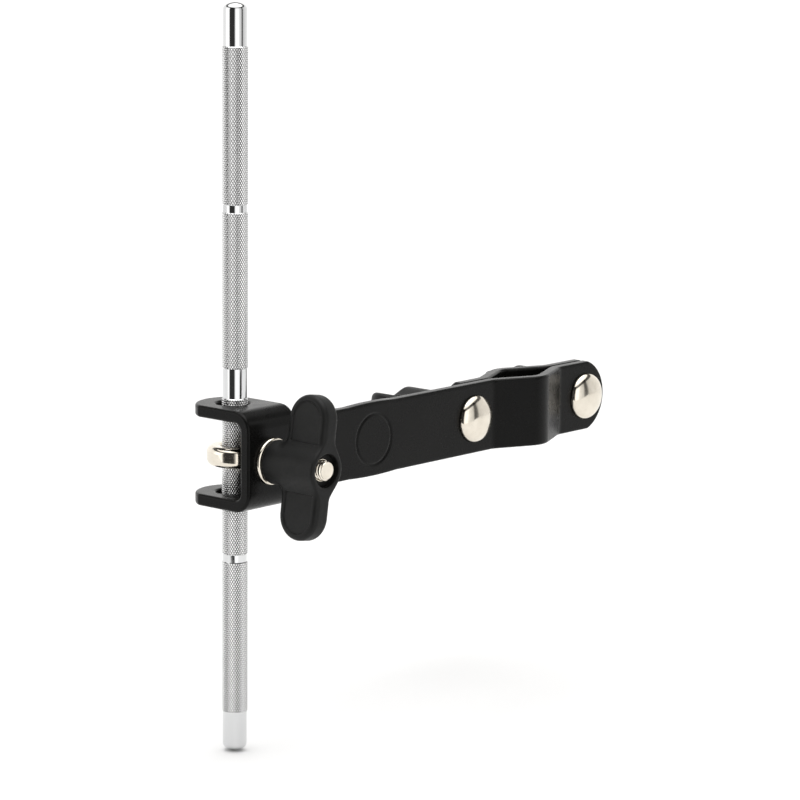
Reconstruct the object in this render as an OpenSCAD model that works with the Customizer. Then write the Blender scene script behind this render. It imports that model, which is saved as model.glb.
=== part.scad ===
// Percussion mounting clamp: two-piece V jaw for a stand tube, flat arm, and a
// U bracket whose eyebolt and wing nut hold a knurled accessory rod.
// Millimetres, +Z up. The origin is the middle of the tube held in the closed jaws:
// Y = 0 is the plane where the two plates meet, and Z = 0 is the plates' mid-height.

/* [Plates] */
// Thickness of the arm and of the loose jaw
plate_t = 4.8; // [4:0.1:6]
// Height of both plates
plate_h = 30; // [28:0.5:34]
// Inner radius of the V's bends
bend_r = 8; // [2:0.1:9]
// Radius of the rounded plate ends
end_arc_r = 16; // [15.5:0.5:20]
// Distance from a clamp bolt to the plate end beyond it
end_margin = 13.1; // [12:0.1:16]

/* [Jaws] */
// Half the length of the V in each jaw
vee_half = 22; // [20:0.1:26]
// Slope of the V faces, in degrees
vee_angle = 24.7; // [20:0.1:30]
// Distance from the tube to the bolt between tube and bracket
mid_bolt_reach = 34.9; // [32:0.1:36]
// Distance from the tube to the bolt at the free end
end_bolt_reach = 39.8; // [38:0.1:46]

/* [Bracket] */
// Distance from the tube to the accessory rod
rod_reach = 160; // [140:0.5:180]
// Distance from the plates' meeting plane back to the rod axis
rod_setback = 16; // [15.5:0.1:18]
// Width of the U bracket
bracket_w = 27.7; // [26:0.1:32]
// Height of the U bracket
bracket_h = 41; // [38:0.5:46]
// Outer radius of the bracket's two bends
bracket_bend_r = 8; // [7:0.1:9]
// Radius of the rounded flange ends
flange_arc_r = 15; // [14.5:0.1:18]
// Distance from the rod axis to the flange ends
flange_reach = 16.4; // [15:0.1:20]
// Radius of the rod holes in the flanges
rod_hole_r = 6.8; // [6.5:0.1:7.5]

/* [Rod] */
// Length of the accessory rod
rod_len = 305; // [280:1:330]
// Height of the rod's top end above the plates' mid-height
rod_top = 181.6; // [150:0.1:200]
// Radius over the knurling
knurl_r = 5.3; // [5.1:0.05:5.4]
// Radius of the smooth stretches
smooth_r = 4.9; // [4.6:0.05:5]
// Length of the smooth tip at the top
tip_len = 17.5; // [15:0.1:20]
// Length of the smooth tip at the bottom
foot_len = 16.6; // [14:0.1:20]
// Length of the smooth waist above the bracket
waist_len = 12.1; // [10:0.1:14]
// Distance from the rod's top to the middle of that waist
waist_drop = 152.7; // [150:0.1:156]
// Width of the two marking grooves
groove_w = 3; // [2:0.1:4]
// Distances from the rod's top to the middle of each groove
groove_drops = [82.1, 224.4];
// Height of the end chamfers
chamfer = 2.1; // [1:0.1:3]

/* [Fasteners] */
// Radius of the bolt threads
bolt_r = 3.95; // [3.9:0.01:4]
// Radius of the domed bolt heads
dome_r = 10.1; // [9.5:0.1:10.1]
// Height of the domed bolt heads
dome_h = 4.9; // [4:0.1:5.5]
// Width of the square under each head
square_w = 8.2; // [8:0.1:8.4]
// Outer radius of the washers
washer_r = 9.6; // [9:0.1:10]
// Thickness of the washers
washer_t = 1.6; // [1.2:0.1:2]
// Outer radius of the eye
eye_r = 11.75; // [11:0.05:12]
// Bore radius of the eye
eye_bore_r = 6; // [5.9:0.05:6.2]
// Thickness of the eye
eye_h = 8.2; // [7:0.1:9]
// How far the eyebolt sits below the plates' mid-height
eye_drop = 0.4; // [0:0.1:2]
// How far the eye's centre is drawn past the rod towards the web
eye_lead = 0.5; // [0.4:0.05:0.6]

/* [Wing nuts] */
// Length of the hub
hub_len = 28; // [26:0.5:30]
// Radius of the hub
hub_r = 9; // [8.5:0.1:9.5]
// Radius of the recess in the hub's outer end
recess_r = 6.8; // [6.5:0.1:7]
// Depth of that recess
recess_depth = 3; // [2:0.1:4]
// Span from wing tip to wing tip
wing_span = 58.4; // [54:0.2:60]
// Width of a wing along the hub
wing_w = 20; // [18:0.5:21]
// Thickness of a wing
wing_t = 8.4; // [6:0.1:9]
// Radius of the metal insert
insert_r = 6.2; // [6:0.1:6.4]
// Length of the metal insert
insert_len = 14; // [12:0.5:16]
// Lean of the front nut's wings from upright, in degrees
front_wing_lean = 8.4; // [0:0.1:20]
// Tilt of the rear nuts' wings from level, in degrees
rear_wing_tilt = 13.5; // [5:0.5:20]

/* [Emblem] */
// Distance from the rod to the middle of the plain round emblem
emblem_reach = 60.9; // [55:0.1:70]
// Outer radius of the emblem ring
emblem_r = 11.1; // [9:0.1:12]
// Depth of the emblem ring
emblem_depth = 0.35; // [0.2:0.05:0.5]
// How far the stamping pushes each edge of the arm out
edge_swell = 0.5; // [0.1:0.05:0.6]

/* [Hidden] */
$fn = 96;

// Colours
coat_black = [0.13, 0.13, 0.13];
nylon_black = [0.19, 0.19, 0.18];
nickel = [0.83, 0.79, 0.70];
chrome = [0.86, 0.87, 0.88];

// Places
rod_x = -rod_reach;
rod_y = rod_setback;
mid_x = -mid_bolt_reach;
end_x = end_bolt_reach;
emblem_x = rod_x + emblem_reach;
eye_y = rod_y - eye_lead;
hole_gap = 0.3;
rod_hole_y = rod_y - knurl_r - hole_gap + rod_hole_r;

// Sizes that follow from the ones above
outer_r = bend_r + plate_t;
bend_tangent = bend_r * tan(vee_angle / 2);
vee_depth = vee_half * tan(vee_angle);
slant_t = plate_t / cos(vee_angle);
apex_y = -vee_depth - plate_t + slant_t;
apex_centre_y = apex_y + bend_r / cos(vee_angle);
seat_y = plate_t + washer_t;
stud_y = seat_y + hub_len;
knurl_start = rod_top - tip_len;
rod_bottom = rod_top - rod_len;
shank_clear_r = bolt_r + 0.5;
insert_bore_r = bolt_r + 0.07;
arc_steps = 12;
cut = 1;

// Points along an arc, both ends included
function arc_points(centre, radius, from_deg, to_deg) =
    [for (i = [0 : arc_steps])
        let (turn = from_deg + (to_deg - from_deg) * i / arc_steps)
        centre + radius * [cos(turn), sin(turn)]];

// One face of the plate from above, left to right, through the V's three bends
function vee_face(left, right, foot_r, apex_r) =
    let (foot = [vee_half + bend_tangent, -outer_r])
    concat([[left, foot_r - outer_r]],
           arc_points([-foot.x, foot.y], foot_r, 90, 90 - vee_angle),
           arc_points([0, apex_centre_y], apex_r, 270 - vee_angle, 270 + vee_angle),
           arc_points(foot, foot_r, 90 + vee_angle, 90),
           [[right, foot_r - outer_r]]);

function reversed(points) = [for (i = [len(points) - 1 : -1 : 0]) points[i]];

// The front plate from above, from one X to another. Its rear face is on Y = 0.
module plate_plan(left, right) {
    rear_face = vee_face(left, right, outer_r, bend_r);
    front_face = vee_face(left, right, bend_r, outer_r);
    polygon(concat(rear_face, reversed(front_face)));
}

// Outline of a rounded plate end whose tip is at X = tip
module rounded_end(tip, length) {
    intersection() {
        translate([tip - end_arc_r, 0]) circle(end_arc_r);
        translate([tip - length, -plate_h / 2]) square([length, plate_h]);
    }
}

// Side outline of a plate, rounded at the right and, if asked, at the left
module plate_outline(left, right, round_left) {
    rounded_end(right, end_arc_r);
    start = round_left ? left + end_arc_r : left;
    translate([start, -plate_h / 2]) square([right - end_arc_r - start, plate_h]);
    if (round_left) mirror([1, 0]) rounded_end(-left, end_arc_r);
}

// Slight outward swell of both edges beside the stamped emblem
module swell_outline() {
    half_len = emblem_r + 3;
    arc_r = (half_len ^ 2 + edge_swell ^ 2) / (2 * edge_swell);
    arc_drop = arc_r - plate_h / 2 - edge_swell;
    translate([emblem_x, 0])
    intersection() {
        square([2 * half_len, 2 * plate_h], center = true);
        translate([0, -arc_drop]) circle(arc_r, $fn = 720);
        translate([0, arc_drop]) circle(arc_r, $fn = 720);
    }
}

// A flat outline stood up in the XZ plane and thickened both ways in Y
module stand_up(depth) {
    rotate([90, 0, 0]) linear_extrude(depth, center = true) children();
}

// A round hole or pin along Y, from one Y to another
module along_y(x, z, radius, from_y, to_y) {
    translate([x, from_y, z])
    rotate([-90, 0, 0])
    cylinder(r = radius, h = to_y - from_y);
}

// The U of the bracket from the side, drawn with Y across and Z up
module u_profile(inset) {
    corner_r = bracket_bend_r - inset;
    corner_y = -plate_t + bracket_bend_r;
    corner_z = bracket_h / 2 - bracket_bend_r;
    depth = rod_y + flange_reach + cut;
    translate([corner_y, -corner_z - corner_r])
        square([depth - corner_y, 2 * (corner_z + corner_r)]);
    translate([-plate_t + inset, -corner_z])
        square([corner_r, 2 * corner_z]);
    for (side = [-1, 1]) translate([corner_y, side * corner_z]) circle(corner_r);
}

// The bracket from above: straight sides and rounded flange ends
module flange_plan() {
    arc_y = rod_y + flange_reach - flange_arc_r;
    translate([rod_x - bracket_w / 2, -plate_t - cut])
        square([bracket_w, arc_y + plate_t + cut]);
    intersection() {
        translate([rod_x, arc_y]) circle(flange_arc_r);
        translate([rod_x - bracket_w / 2, arc_y]) square([bracket_w, flange_arc_r]);
    }
}

module u_bracket() {
    intersection() {
        translate([rod_x - bracket_w / 2, 0, 0])
        rotate([90, 0, 90])
        linear_extrude(bracket_w)
        difference() {
            u_profile(0);
            u_profile(plate_t);
        }
        linear_extrude(bracket_h + 2 * cut, center = true) flange_plan();
    }
}

module square_hole(x) {
    hole_w = square_w + 0.2;
    translate([x, -plate_t / 2, 0]) cube([hole_w, 2 * plate_t, hole_w], center = true);
}

// Plain ring pressed into the front face
module emblem_groove() {
    ring_w = 1;
    translate([emblem_x, -plate_t, 0])
    stand_up(2 * emblem_depth)
    difference() {
        circle(emblem_r);
        circle(emblem_r - ring_w);
    }
}

// Round reliefs where the bracket's bends meet the arm's edges
module bend_reliefs() {
    relief_r = 1.8;
    for (side = [-1, 1])
        along_y(rod_x + bracket_w / 2 + relief_r, side * plate_h / 2, relief_r,
                -plate_t - cut, cut);
}

module front_arm() {
    tip = end_x + end_margin;
    color(coat_black)
    difference() {
        union() {
            u_bracket();
            intersection() {
                linear_extrude(plate_h + 4 * edge_swell, center = true)
                    plate_plan(rod_x, tip);
                stand_up(4 * (vee_depth + plate_t)) {
                    plate_outline(rod_x, tip, false);
                    swell_outline();
                }
            }
        }
        square_hole(mid_x);
        square_hole(end_x);
        along_y(rod_x, -eye_drop, shank_clear_r, -plate_t - cut, cut);
        translate([rod_x, rod_hole_y, -bracket_h])
            cylinder(r = rod_hole_r, h = 2 * bracket_h);
        bend_reliefs();
        emblem_groove();
    }
}

module rear_jaw() {
    left = mid_x - end_margin;
    tip = end_x + end_margin;
    color(coat_black)
    difference() {
        intersection() {
            linear_extrude(plate_h + cut, center = true)
                mirror([0, 1]) plate_plan(left, tip);
            stand_up(4 * (vee_depth + plate_t)) plate_outline(left, tip, true);
        }
        for (x = [mid_x, end_x]) along_y(x, 0, shank_clear_r, -cut, plate_t + cut);
    }
}

// Full knurled stretch of the rod from one drop below its top to another
module knurled(from_drop, to_drop) {
    translate([0, 0, rod_top - to_drop]) cylinder(r = knurl_r, h = to_drop - from_drop);
}

module mounting_rod() {
    end_r = smooth_r - 0.6 * chamfer;
    half_waist = waist_len / 2;
    half_groove = groove_w / 2;
    color(chrome)
    translate([rod_x, rod_y, 0]) {
        translate([0, 0, rod_bottom + chamfer])
            cylinder(r = smooth_r, h = rod_len - 2 * chamfer);
        translate([0, 0, rod_top - chamfer])
            cylinder(r1 = smooth_r, r2 = end_r, h = chamfer);
        translate([0, 0, rod_bottom])
            cylinder(r1 = end_r, r2 = smooth_r, h = chamfer);
        knurled(tip_len, groove_drops[0] - half_groove);
        knurled(groove_drops[0] + half_groove, waist_drop - half_waist);
        knurled(waist_drop + half_waist, groove_drops[1] - half_groove);
        knurled(groove_drops[1] + half_groove, rod_len - foot_len);
    }
}

module eye_bolt() {
    edge_r = 1.6;
    half_flat = eye_h / 2 - edge_r;
    wall = eye_r - eye_bore_r;
    color(nickel) {
        translate([rod_x, eye_y, -eye_drop]) {
            rotate_extrude() {
                translate([eye_bore_r, -half_flat]) square([wall, 2 * half_flat]);
                translate([eye_bore_r + edge_r, -eye_h / 2])
                    square([wall - 2 * edge_r, eye_h]);
                for (r = [eye_bore_r + edge_r, eye_r - edge_r], z = [-half_flat, half_flat])
                    translate([r, z]) circle(edge_r);
            }
            rotate([90, 0, 0])
            translate([0, 0, eye_r - wall / 2])
            cylinder(r = bolt_r, h = stud_y + eye_y - eye_r + wall / 2);
        }
    }
}

// A washer on a bolt along Y, starting at from_y
module washer(x, z, from_y) {
    color(nickel)
    difference() {
        along_y(x, z, washer_r, from_y, from_y + washer_t);
        along_y(x, z, shank_clear_r, from_y - cut, from_y + washer_t + cut);
    }
}

// A wing nut standing on its seat, with its wings along X
module wing_nut() {
    tip_r = wing_w / 2;
    tip_x = wing_span / 2 - tip_r;
    wing_z = hub_len - tip_r;
    color(nylon_black)
    difference() {
        union() {
            cylinder(r = hub_r, h = hub_len);
            rotate([90, 0, 0])
            linear_extrude(wing_t, center = true) {
                translate([-tip_x, wing_z - tip_r]) square([2 * tip_x, wing_w]);
                for (side = [-1, 1]) translate([side * tip_x, wing_z]) circle(tip_r);
            }
        }
        translate([0, 0, -cut]) cylinder(r = shank_clear_r, h = hub_len);
        translate([0, 0, hub_len - recess_depth]) cylinder(r = recess_r, h = 2 * recess_depth);
        translate([0, 0, hub_len - recess_depth - insert_len])
            cylinder(r = insert_r, h = insert_len + cut);
    }
}

// The threaded insert of a wing nut, in the same frame as wing_nut
module nut_insert() {
    color(nickel)
    translate([0, 0, hub_len - recess_depth - insert_len])
    difference() {
        cylinder(r = insert_r, h = insert_len);
        translate([0, 0, -cut]) cylinder(r = insert_bore_r, h = insert_len + 2 * cut);
    }
}

// Puts a nut's part on the front stud, wings near upright
module on_front_stud() {
    translate([rod_x, -seat_y, -eye_drop])
    rotate([90, 0, 0])
    rotate(90 - front_wing_lean)
    children();
}

// Puts a nut's part on a clamp bolt behind the loose jaw, wings near level
module on_clamp_bolt(x) {
    translate([x, seat_y, 0])
    rotate([-90, 0, 0])
    rotate(rear_wing_tilt)
    children();
}

// A domed bolt with a square neck, its head on the front of the arm
module carriage_bolt(x) {
    rim_h = 0.6;
    cap_h = dome_h - rim_h;
    ball_r = (dome_r ^ 2 + cap_h ^ 2) / (2 * cap_h);
    color(nickel)
    translate([x, -plate_t, 0]) {
        rotate([90, 0, 0])
        rotate_extrude() {
            square([dome_r, rim_h]);
            intersection() {
                translate([0, dome_h - ball_r]) circle(ball_r, $fn = 240);
                translate([0, rim_h - 0.01]) square([dome_r, cap_h + 0.01]);
            }
        }
        translate([0, plate_t / 2, 0]) cube([square_w, plate_t, square_w], center = true);
        rotate([-90, 0, 0]) cylinder(r = bolt_r, h = plate_t + stud_y);
    }
}

module front_washer() { washer(rod_x, -eye_drop, -seat_y); }
module mid_washer() { washer(mid_x, 0, plate_t); }
module end_washer() { washer(end_x, 0, plate_t); }
module front_wing_nut() { on_front_stud() wing_nut(); }
module front_nut_insert() { on_front_stud() nut_insert(); }
module mid_wing_nut() { on_clamp_bolt(mid_x) wing_nut(); }
module mid_nut_insert() { on_clamp_bolt(mid_x) nut_insert(); }
module end_wing_nut() { on_clamp_bolt(end_x) wing_nut(); }
module end_nut_insert() { on_clamp_bolt(end_x) nut_insert(); }
module mid_carriage_bolt() { carriage_bolt(mid_x); }
module end_carriage_bolt() { carriage_bolt(end_x); }

front_arm();
rear_jaw();
mounting_rod();
eye_bolt();
front_washer();
front_wing_nut();
front_nut_insert();
mid_carriage_bolt();
end_carriage_bolt();
mid_washer();
end_washer();
mid_wing_nut();
mid_nut_insert();
end_wing_nut();
end_nut_insert();
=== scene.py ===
"""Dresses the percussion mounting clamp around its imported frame.

The clamp is a bent arm with a loose V jaw, a U bracket at its far end, and an
eyebolt with a wing nut that pulls a knurled rod against the bracket. Shapes are
worked out in millimetres in the frame's own axes and turned to metres as each
mesh is made. Each sub-assembly is a class that holds its sizes.
"""
import logging
import math
from dataclasses import dataclass, field
from enum import Enum
from itertools import product
from typing import Callable, Sequence

import bpy
import numpy as np
from mathutils import Matrix, Vector


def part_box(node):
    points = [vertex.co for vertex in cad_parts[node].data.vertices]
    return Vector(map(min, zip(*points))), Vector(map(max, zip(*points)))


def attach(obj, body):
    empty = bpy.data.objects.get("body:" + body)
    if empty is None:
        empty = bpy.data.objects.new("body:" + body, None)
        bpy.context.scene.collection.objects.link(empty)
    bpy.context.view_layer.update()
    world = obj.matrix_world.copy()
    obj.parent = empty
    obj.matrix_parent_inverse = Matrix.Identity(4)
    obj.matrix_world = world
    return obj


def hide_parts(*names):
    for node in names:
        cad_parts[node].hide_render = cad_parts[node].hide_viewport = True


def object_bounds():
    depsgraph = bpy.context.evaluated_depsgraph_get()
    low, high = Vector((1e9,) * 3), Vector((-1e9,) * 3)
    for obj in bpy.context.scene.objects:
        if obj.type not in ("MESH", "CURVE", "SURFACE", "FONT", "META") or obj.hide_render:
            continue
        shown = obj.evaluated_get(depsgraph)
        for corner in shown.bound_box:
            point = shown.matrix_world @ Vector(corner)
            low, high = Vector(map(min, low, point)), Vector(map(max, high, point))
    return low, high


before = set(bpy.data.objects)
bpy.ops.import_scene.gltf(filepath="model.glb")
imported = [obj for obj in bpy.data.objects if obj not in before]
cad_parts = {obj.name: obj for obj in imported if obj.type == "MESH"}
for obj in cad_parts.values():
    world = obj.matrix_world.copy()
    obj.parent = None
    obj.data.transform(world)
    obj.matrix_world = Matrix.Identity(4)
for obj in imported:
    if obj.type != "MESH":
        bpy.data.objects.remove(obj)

CAD_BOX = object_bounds()
MM = 0.001
LOG = logging.getLogger("clamp")

Array = np.ndarray
Shape = Callable[[Array, Array, Array], Array]
Triple = tuple[float, float, float]


class Slot(Enum):
    """The material slots of the pieces."""

    COAT = "coat"
    NYLON = "nylon"
    NICKEL = "nickel"
    ROD = "rod"


class Body(Enum):
    """The moving bodies of the frame."""

    ARM = "arm"
    ROD = "rod"
    EYE = "eye"
    FRONT_NUT = "front_nut"
    JAW = "jaw"
    MID_NUT = "mid_nut"
    END_NUT = "end_nut"


# ---------------------------------------------------------------- finishes


class NodeBench:
    """Lays out one material's nodes."""

    def __init__(self, name: str) -> None:
        """Starts an empty node material.

        Args:
            name: The material's name.
        """
        self.material = bpy.data.materials.new(name)
        self.material.use_nodes = True
        self.tree = self.material.node_tree
        self.shader = self.tree.nodes["Principled BSDF"]
        coordinates = self.tree.nodes.new("ShaderNodeTexCoord")
        self.place = coordinates.outputs["Object"]

    def grain(self, scale: float, detail: float, stretch: Triple = (1, 1, 1)) -> object:
        """Adds a noise pattern over the piece.

        Args:
            scale: Grains to the metre.
            detail: How many finer octaves lie over the first.
            stretch: How much the pattern is packed along each axis.

        Returns:
            The output socket that carries the pattern.
        """
        mapping = self.tree.nodes.new("ShaderNodeMapping")
        mapping.inputs["Scale"].default_value = stretch
        noise = self.tree.nodes.new("ShaderNodeTexNoise")
        noise.inputs["Scale"].default_value = scale
        noise.inputs["Detail"].default_value = detail
        self.tree.links.new(self.place, mapping.inputs["Vector"])
        self.tree.links.new(mapping.outputs["Vector"], noise.inputs["Vector"])
        return noise.outputs["Fac"]

    def tint(self, pattern: object, dark: Triple, light: Triple) -> None:
        """Colours the surface between two shades.

        Args:
            pattern: The socket that mixes them.
            dark: Linear colour where the pattern is low.
            light: Linear colour where the pattern is high.
        """
        ramp = self.tree.nodes.new("ShaderNodeValToRGB")
        low, high = ramp.color_ramp.elements
        low.position, high.position = 0.3, 0.7
        low.color, high.color = (*dark, 1.0), (*light, 1.0)
        self.tree.links.new(pattern, ramp.inputs["Fac"])
        self.tree.links.new(ramp.outputs["Color"], self.shader.inputs["Base Color"])

    def roughen(self, pattern: object, low: float, high: float) -> None:
        """Varies the roughness from low to high with a pattern's socket."""
        scaled = self.tree.nodes.new("ShaderNodeMapRange")
        scaled.inputs["From Min"].default_value = 0.3
        scaled.inputs["From Max"].default_value = 0.7
        scaled.inputs["To Min"].default_value = low
        scaled.inputs["To Max"].default_value = high
        self.tree.links.new(pattern, scaled.inputs["Value"])
        self.tree.links.new(scaled.outputs["Result"], self.shader.inputs["Roughness"])

    def emboss(self, pattern: object, height: float, strength: float) -> None:
        """Raises the surface with a pattern's socket, by a height in metres."""
        bump = self.tree.nodes.new("ShaderNodeBump")
        bump.inputs["Strength"].default_value = strength
        bump.inputs["Distance"].default_value = height
        self.tree.links.new(pattern, bump.inputs["Height"])
        self.tree.links.new(bump.outputs["Normal"], self.shader.inputs["Normal"])

    def fix(self, **values: float) -> None:
        """Sets constant sockets of the shader, underscores standing for spaces."""
        for name, value in values.items():
            self.shader.inputs[name.replace("_", " ")].default_value = value


@dataclass(frozen=True)
class SatinCoat:
    """Satin black coat on the bent steel plates."""

    dark: Triple = (0.0028, 0.0028, 0.0026)
    light: Triple = (0.0044, 0.0044, 0.0041)
    smoothest: float = 0.25
    roughest: float = 0.30

    def material(self) -> bpy.types.Material:
        """Builds the coat's node material."""
        bench = NodeBench("satin_coat")
        bench.tint(bench.grain(60, 4), self.dark, self.light)
        bench.roughen(bench.grain(150, 2), self.smoothest, self.roughest)
        bench.emboss(bench.grain(900, 1), 0.00001, 0.06)
        bench.fix(Specular_IOR_Level=0.12)
        return bench.material


@dataclass(frozen=True)
class MouldedNylon:
    """Matte black glass-filled nylon of the wing nuts."""

    dark: Triple = (0.0050, 0.0051, 0.0049)
    light: Triple = (0.0080, 0.0081, 0.0078)
    smoothest: float = 0.42
    roughest: float = 0.54

    def material(self) -> bpy.types.Material:
        """Builds the nylon's node material."""
        bench = NodeBench("moulded_nylon")
        bench.tint(bench.grain(180, 5), self.dark, self.light)
        bench.roughen(bench.grain(900, 3), self.smoothest, self.roughest)
        bench.emboss(bench.grain(2600, 2), 0.00004, 0.4)
        bench.fix(Specular_IOR_Level=0.2)
        return bench.material


@dataclass(frozen=True)
class WarmNickel:
    """Polished nickel plate on bolts, washers, inserts and the eye."""

    dark: Triple = (0.70, 0.645, 0.555)
    light: Triple = (0.80, 0.745, 0.65)
    smoothest: float = 0.09
    roughest: float = 0.17

    def material(self) -> bpy.types.Material:
        """Builds the nickel's node material."""
        bench = NodeBench("warm_nickel")
        bench.tint(bench.grain(240, 4), self.dark, self.light)
        bench.roughen(bench.grain(700, 3), self.smoothest, self.roughest)
        bench.emboss(bench.grain(1100, 2), 0.00001, 0.12)
        bench.fix(Metallic=1.0)
        return bench.material


@dataclass(frozen=True)
class BrightChrome:
    """Bright chrome plate over the turned and knurled rod."""

    dark: Triple = (0.64, 0.645, 0.65)
    light: Triple = (0.71, 0.715, 0.72)
    smoothest: float = 0.05
    roughest: float = 0.12

    def material(self) -> bpy.types.Material:
        """Builds the chrome's node material, its grain drawn along the rod."""
        bench = NodeBench("bright_chrome")
        along = (1.0, 1.0, 0.08)
        bench.tint(bench.grain(300, 4, along), self.dark, self.light)
        bench.roughen(bench.grain(800, 3, along), self.smoothest, self.roughest)
        bench.emboss(bench.grain(1600, 2, along), 0.000008, 0.1)
        bench.fix(Metallic=1.0)
        return bench.material


@dataclass(frozen=True)
class KnurledChrome:
    """Chrome on the knurling, with a painted highlight on its crests and painted shade
    down its valleys.
    """

    axis_x: float
    axis_y: float
    valley_r: float
    crest_r: float
    # Painted shade darkens the valleys; a painted highlight brightens the crests above the
    # rod's plain chrome.
    valley_painted_shade: Triple = (0.30, 0.30, 0.30)
    crest_painted_highlight: Triple = (0.97, 0.972, 0.975)
    smoothest: float = 0.20
    roughest: float = 0.28

    def material(self) -> bpy.types.Material:
        """Builds the knurled chrome's node material, with highlight and shade painted by
        depth in the knurl.
        """
        bench = NodeBench("knurled_chrome_painted_shade")
        tree = bench.tree
        flat = tree.nodes.new("ShaderNodeMapping")
        flat.inputs["Location"].default_value = (-self.axis_x, -self.axis_y, 0)
        flat.inputs["Scale"].default_value = (1, 1, 0)
        length = tree.nodes.new("ShaderNodeVectorMath")
        length.operation = "LENGTH"
        depth = tree.nodes.new("ShaderNodeMapRange")
        depth.inputs["From Min"].default_value = self.valley_r
        depth.inputs["From Max"].default_value = self.crest_r
        tree.links.new(bench.place, flat.inputs["Vector"])
        tree.links.new(flat.outputs["Vector"], length.inputs[0])
        tree.links.new(length.outputs["Value"], depth.inputs["Value"])
        # Painted shade and highlight: colour runs from dark in the valleys to bright on
        # the crests, by depth.
        bench.tint(depth.outputs["Result"], self.valley_painted_shade, self.crest_painted_highlight)
        bench.roughen(bench.grain(800, 3), self.smoothest, self.roughest)
        bench.fix(Metallic=1.0)
        return bench.material


@dataclass(frozen=True)
class PaleFloor:
    """Plain pale studio floor."""

    shade: float = 0.82
    unevenness: float = 0.01

    def material(self) -> bpy.types.Material:
        """Builds the floor's node material."""
        bench = NodeBench("pale_floor")
        whiter = (self.shade, self.shade, self.shade)
        duller = tuple(value - self.unevenness for value in whiter)
        bench.tint(bench.grain(3, 2), duller, whiter)
        bench.fix(Roughness=0.8, Specular_IOR_Level=0.0)
        return bench.material


# ---------------------------------------------------------------- mesh making


@dataclass
class MeshStock:
    """Points in millimetres and the faces that join them."""

    points: list[Triple] = field(default_factory=list)
    faces: list[tuple[int, ...]] = field(default_factory=list)
    faceted: set[int] = field(default_factory=set)

    def add(self, points: Sequence[Triple], faces: Sequence[Sequence[int]]) -> None:
        """Adds a closed shell.

        Args:
            points: Its points in millimetres.
            faces: Its faces, numbered from the shell's own first point.
        """
        first = len(self.points)
        self.points.extend(tuple(map(float, point)) for point in points)
        self.faces.extend(tuple(int(i) + first for i in face) for face in faces)

    def moved(self, placement: Matrix) -> "MeshStock":
        """Returns a copy put in place by a matrix that works in millimetres."""
        moved = [tuple(placement @ Vector(point)) for point in self.points]
        return MeshStock(moved, list(self.faces), set(self.faceted))

    def mesh(self, name: str, crease_deg: float) -> bpy.types.Mesh:
        """Makes the Blender mesh in metres.

        Args:
            name: The mesh's name.
            crease_deg: Edges sharper than this stay crisp.

        Returns:
            The mesh, shaded smooth but for its faceted faces and crisp edges.
        """
        mesh = bpy.data.meshes.new(name)
        mesh.from_pydata((np.array(self.points) * MM).tolist(), [], self.faces)
        mesh.validate()
        mesh.shade_smooth()
        mesh.set_sharp_from_angle(angle=math.radians(crease_deg))
        if self.faceted:
            flags = np.ones(len(mesh.polygons), dtype=bool)
            flags[sorted(self.faceted)] = False
            mesh.polygons.foreach_set("use_smooth", flags)
        return mesh


CORNERS = np.array(list(product((0, 1), repeat=3)))
CELL_EDGES = [
    (a, b)
    for a, b in product(range(8), repeat=2)
    if a < b and np.abs(CORNERS[a] - CORNERS[b]).sum() == 1
]


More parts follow.
